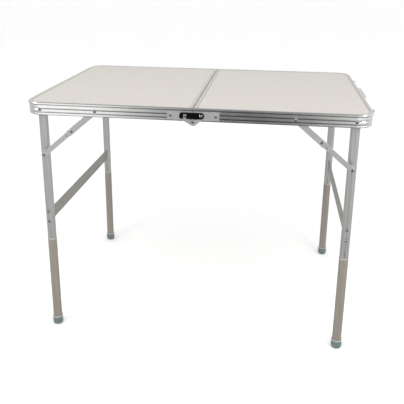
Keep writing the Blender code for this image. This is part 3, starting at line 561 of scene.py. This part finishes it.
for end in ends:
    way = outward[end]
    for mark, lean in (("inner", -1), ("outer", 1)):
        for kind, body in (("latchScrew", "right_half"), ("catchScrew", "left_half")):
            screwAt(kind, f"{kind}_{mark}_{end}", way * screws["latchY"] + lean * screws[kind]["apart"], body)
    screwAt("lugScrew", f"lugScrew_{end}", way * screws["lugScrew"]["y"], "right_half")
print("small screws placed")


# ---- a pressed pip, and a small near-black disc of painted shade standing for a stop hole, beside the knee on the lower links ----
# along and lift place a mark from the knee; rings are height and share of the radius
lowerLink = {"knee": (0.323896, 0.598232), "slope": (0.7595, -0.6505), "face": 0.2927, "corners": 20}
linkMarks = {
    "linkPip": {
        "along": 0.0190, "lift": -0.0012, "radius": 0.0018, "smooth": 60, "look": "rivetMetal", "slot": "bright_rivet",
        "rings": ((0.0, 1.1), (0.00008, 1.0), (0.000144, 0.85), (0.000216, 0.55), (0.00024, 0.2)),
    },
    # the hole is not cut: a thin near-black disc paints its shade
    "linkHoleShade": {
        "along": 0.0135, "lift": 0.0026, "radius": 0.0013, "smooth": 40, "look": "hookPlastic", "slot": "black_plastic",
        "rings": ((0.0, 1.25), (0.00025, 1.1), (0.00025, 1.0), (0.0001, 0.8)),
    },
}


def linkMark(kind, side, end):
    m = linkMarks[kind]
    kneeX, kneeZ = lowerLink["knee"]
    slopeX, slopeZ = lowerLink["slope"]
    x = outward[side] * (kneeX + slopeX * m["along"])
    z = kneeZ + slopeZ * m["along"] + m["lift"]
    rings = [(height, m["radius"] * share) for height, share in m["rings"]]
    place = (x, outward[end] * lowerLink["face"], z)
    piece = turnedPiece(f"{kind}_{side}_{end}", place, (0, outward[end], 0), rings, lowerLink["corners"])
    smoothed(piece, m["smooth"])
    givePiece(piece, m["look"], f"lower_link_{side}_{end}")


for side in sides:
    for end in ends:
        for kind in linkMarks:
            linkMark(kind, side, end)
print("link pips made")


# ---- floor, light and camera ----
studio = {
    "floorSize": 60.0,
    "floorColour": (0.97, 0.97, 0.97),
    "floorRoughness": 0.9,
    "skyStrength": 1.0,
    "mirrorStrength": 1.3,
    "zenithLevel": 0.26,
    "aim": (0, 0, 0.5),
    "lights": {
        "topLight": {"place": (0.4, -1.5, 2.3), "size": (2.4, 2.0), "power": 10.0},
        "leftLight": {"place": (-1.7, -2.0, 2.5), "size": (1.2, 1.2), "power": 22.0},
        "rightLight": {"place": (2.0, -2.0, 2.5), "size": (1.2, 1.2), "power": 22.0},
    },
}
# what the metal mirrors: position across (0 left, 1 right), in depth (0 front, 1 back) or upwards
# (0 straight down, 1 straight up), and brightness
sideGlow = (
    (0.0, 0.50), (0.16, 0.66), (0.28, 0.92), (0.345, 0.90), (0.362, 0.72), (0.380, 0.46), (0.405, 0.33),
    (0.455, 0.13), (0.490, 0.13), (0.522, 0.20), (0.548, 0.33), (0.570, 0.58), (0.62, 0.74), (0.80, 0.76), (1.0, 0.62),
)
backGlow = ((0.0, 0.50), (0.35, 0.55), (0.48, 0.48), (0.60, 0.56), (1.0, 0.68))
depthGlow = ((0.58, 0.0), (0.82, 1.0))
heightGlow = ((0.0, 0.10), (0.10, 0.22), (0.22, 0.62), (0.36, 0.95), (0.60, 1.0))
skyGlow = ((0.80, 0.0), (0.95, 1.0))
# two small bright spots in front; wide and soft are degrees
sparkle = {"left": (-0.72, -0.34, 0.60), "right": (0.72, -0.34, 0.60), "wide": 9.0, "soft": 4.0, "power": 26.0}


def addSoftbox(name, place, size, power):
    bpy.ops.object.light_add(type="AREA", location=place)
    box = bpy.context.object
    box.name = name
    box.data.shape = "RECTANGLE"
    box.data.size, box.data.size_y = size
    box.data.energy = power
    box.visible_glossy = False  # the metal mirrors only the sky below
    box.rotation_mode = "QUATERNION"
    box.rotation_quaternion = (Vector(studio["aim"]) - box.location).to_track_quat("-Z", "Y")


def glowRamp(tree, value, stops):
    ramp = addNode(tree, "ShaderNodeValToRGB", {"Fac": value})
    ramp.color_ramp.interpolation = "EASE"
    while len(ramp.color_ramp.elements) < len(stops):
        ramp.color_ramp.elements.new(0.5)
    for element, (place, level) in zip(ramp.color_ramp.elements, stops):
        element.position = place
        element.color = (level, level, level, 1.0)
    return ramp.outputs["Color"]


def zeroToOne(tree, value):
    made = addNode(tree, "ShaderNodeMapRange", {"Value": value, "From Min": -1.0})
    return made.outputs["Result"]


def mathNode(tree, operation, first, second):
    made = addNode(tree, "ShaderNodeMath", {0: first, 1: second}, operation=operation)
    return made.outputs["Value"]


def mirroredSky(tree, direction):
    split = addNode(tree, "ShaderNodeSeparateXYZ", {"Vector": direction})
    across, depth, height = (zeroToOne(tree, split.outputs[axis]) for axis in "XYZ")
    frontRamp, backRamp = glowRamp(tree, across, sideGlow), glowRamp(tree, across, backGlow)
    level = mixLevel(tree, glowRamp(tree, depth, depthGlow), frontRamp, backRamp)
    gloss = mathNode(tree, "MULTIPLY", level, glowRamp(tree, height, heightGlow))
    whole = mixLevel(tree, glowRamp(tree, height, skyGlow), gloss, studio["zenithLevel"])
    shine = mathNode(tree, "MULTIPLY", whole, studio["mirrorStrength"])
    for side in sides:
        facing = addNode(tree, "ShaderNodeVectorMath", {0: direction, 1: sparkle[side]}, operation="DOT_PRODUCT")
        rim, core = (math.cos(math.radians(sparkle["wide"] + way * sparkle["soft"])) for way in (1, -1))
        spot = spread(tree, facing.outputs["Value"], 0.0, sparkle["power"], rim, core)
        shine = mathNode(tree, "ADD", shine, spot)
    return shine


bpy.ops.object.select_all(action="DESELECT")
bpy.ops.mesh.primitive_plane_add(size=studio["floorSize"], location=(0, 0, 0))
floor = bpy.context.object
floor.name = "studioFloor"
floorPaper = newMaterial("floorPaper", studio["floorColour"], studio["floorRoughness"])[0]
floor.data.materials.append(floorPaper)
floor.visible_glossy = False

world = bpy.context.scene.world or bpy.data.worlds.new("studioSky")
bpy.context.scene.world = world
world.use_nodes = True
sky = world.node_tree.nodes["Background"]
sky.inputs["Color"].default_value = (1.0, 1.0, 1.0, 1.0)
sight = addNode(world.node_tree, "ShaderNodeTexCoord", {})
path = addNode(world.node_tree, "ShaderNodeLightPath", {})
shine = mirroredSky(world.node_tree, sight.outputs["Generated"])
strength = mixLevel(world.node_tree, path.outputs["Is Glossy Ray"], studio["skyStrength"], shine)
world.node_tree.links.new(strength, sky.inputs["Strength"])
for name, values in studio["lights"].items():
    addSoftbox(name, **values)

view = {
    "place": (0.1988, -1.6758, 1.0112),
    "pitch": 1.2780,
    "yaw": 0.1266,
    "roll": 0.0096,
    "lens": 50.635,
    "sensor": 36.0,
    "shift": (0.0, -0.1535),
}
bpy.ops.object.camera_add(location=view["place"])
camera = bpy.context.object
turn = Matrix.Identity(4)
for angle, axis in (("yaw", "Z"), ("pitch", "X"), ("roll", "Z")):
    turn = turn @ Matrix.Rotation(view[angle], 4, axis)
camera.rotation_euler = turn.to_euler()
camera.data.lens = view["lens"]
camera.data.sensor_width = view["sensor"]
camera.data.shift_x, camera.data.shift_y = view["shift"]
bpy.context.scene.camera = camera
bpy.context.scene.view_settings.view_transform = "Standard"
print("studio ready")
